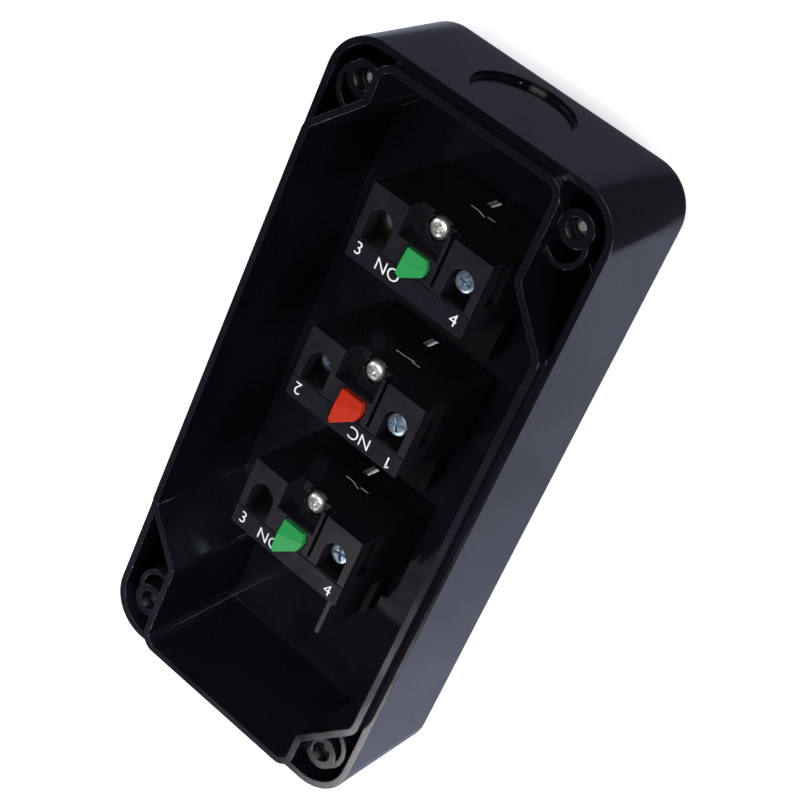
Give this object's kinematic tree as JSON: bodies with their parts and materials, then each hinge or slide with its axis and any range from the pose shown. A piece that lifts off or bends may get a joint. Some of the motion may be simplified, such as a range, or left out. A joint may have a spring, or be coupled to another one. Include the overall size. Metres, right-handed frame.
{
  "type": "control switch box",
  "caption": "Open-backed push-button station housing with flush buttons in its face and a screw-terminal contact block behind each",
  "frame": {"origin": "centre of the plane that the three button bezels rest on, midway between the side walls and the end walls", "axes": "+Z leaves the box through its open back, +Y runs along the box towards the end wall next to the upper contact block's side, X runs across it"},
  "size_m": [0.07, 0.155, 0.0435],
  "materials": {
    "shell_plastic": "glossy black moulded ABS",
    "chrome_bezel": "chromed turned metal",
    "gasket_rubber": "matte black rubber",
    "green_plastic": "moulded green nylon",
    "red_plastic": "moulded red nylon",
    "black_nylon": "black moulded nylon",
    "collar_nylon": "dark grey glass-filled nylon",
    "block_housing": "dark grey thermoset moulding",
    "spring_steel": "drawn spring wire",
    "zinc_screw": "blue-passivated zinc plate",
    "nickel_screw": "nickel plate",
    "copper_alloy": "stamped copper with silver rivets",
    "brass_strip": "stamped brass"
  },
  "bodies": {
    "station": {"front_shell": "shell_plastic", "cover_screws": "nickel_screw", "upper_bezel": "chrome_bezel", "upper_gasket": "gasket_rubber", "upper_return_spring": "spring_steel", "upper_spring_seat": "spring_steel", "upper_collar": "collar_nylon", "upper_collar_screws": "zinc_screw", "upper_contact_block": "block_housing", "upper_block_base": "black_nylon", "upper_fixed_contacts": "brass_strip", "upper_terminal_clamps": "brass_strip", "upper_terminal_screws": "zinc_screw", "upper_block_screw": "nickel_screw", "middle_bezel": "chrome_bezel", "middle_gasket": "gasket_rubber", "middle_return_spring": "spring_steel", "middle_spring_seat": "spring_steel", "middle_collar": "collar_nylon", "middle_collar_screws": "zinc_screw", "middle_contact_block": "block_housing", "middle_block_base": "black_nylon", "middle_fixed_contacts": "brass_strip", "middle_terminal_clamps": "brass_strip", "middle_terminal_screws": "zinc_screw", "middle_block_screw": "nickel_screw", "lower_bezel": "chrome_bezel", "lower_gasket": "gasket_rubber", "lower_return_spring": "spring_steel", "lower_spring_seat": "spring_steel", "lower_collar": "collar_nylon", "lower_collar_screws": "zinc_screw", "lower_contact_block": "block_housing", "lower_block_base": "black_nylon", "lower_fixed_contacts": "brass_strip", "lower_terminal_clamps": "brass_strip", "lower_terminal_screws": "zinc_screw", "lower_block_screw": "nickel_screw"},
    "upper_button": {"upper_button_cap": "green_plastic", "upper_pusher": "black_nylon", "upper_retaining_ring": "spring_steel"},
    "upper_contact": {"upper_plunger": "green_plastic", "upper_contact_bridge": "copper_alloy", "upper_contact_spring": "spring_steel"},
    "middle_button": {"middle_button_cap": "red_plastic", "middle_pusher": "black_nylon", "middle_retaining_ring": "spring_steel"},
    "middle_contact": {"middle_plunger": "red_plastic", "middle_contact_bridge": "copper_alloy", "middle_contact_spring": "spring_steel"},
    "lower_button": {"lower_button_cap": "green_plastic", "lower_pusher": "black_nylon", "lower_retaining_ring": "spring_steel"},
    "lower_contact": {"lower_plunger": "green_plastic", "lower_contact_bridge": "copper_alloy", "lower_contact_spring": "spring_steel"}
  },
  "joints": [
    {"name": "upper_button_press", "type": "slide", "parent": "station", "child": "upper_button", "axis": [0, 0, 1], "range_m": [0, 0.005], "stiffness_N_per_m": 600, "springref_m": -0.005, "deforming": ["upper_return_spring"]},
    {"name": "upper_plunger_slide", "type": "slide", "parent": "station", "child": "upper_contact", "axis": [0, 0, 1], "range_m": [0, 0.005]},
    {"name": "middle_button_press", "type": "slide", "parent": "station", "child": "middle_button", "axis": [0, 0, 1], "range_m": [0, 0.005], "stiffness_N_per_m": 600, "springref_m": -0.005, "deforming": ["middle_return_spring"]},
    {"name": "middle_plunger_slide", "type": "slide", "parent": "station", "child": "middle_contact", "axis": [0, 0, 1], "range_m": [0, 0.005]},
    {"name": "lower_button_press", "type": "slide", "parent": "station", "child": "lower_button", "axis": [0, 0, 1], "range_m": [0, 0.005], "stiffness_N_per_m": 600, "springref_m": -0.005, "deforming": ["lower_return_spring"]},
    {"name": "lower_plunger_slide", "type": "slide", "parent": "station", "child": "lower_contact", "axis": [0, 0, 1], "range_m": [0, 0.005]}
  ],
  "couplings": [
    {"joint": "upper_plunger_slide", "follows": "upper_button_press", "ratio": 1},
    {"joint": "middle_plunger_slide", "follows": "middle_button_press", "ratio": 1},
    {"joint": "lower_plunger_slide", "follows": "lower_button_press", "ratio": 1}
  ]
}
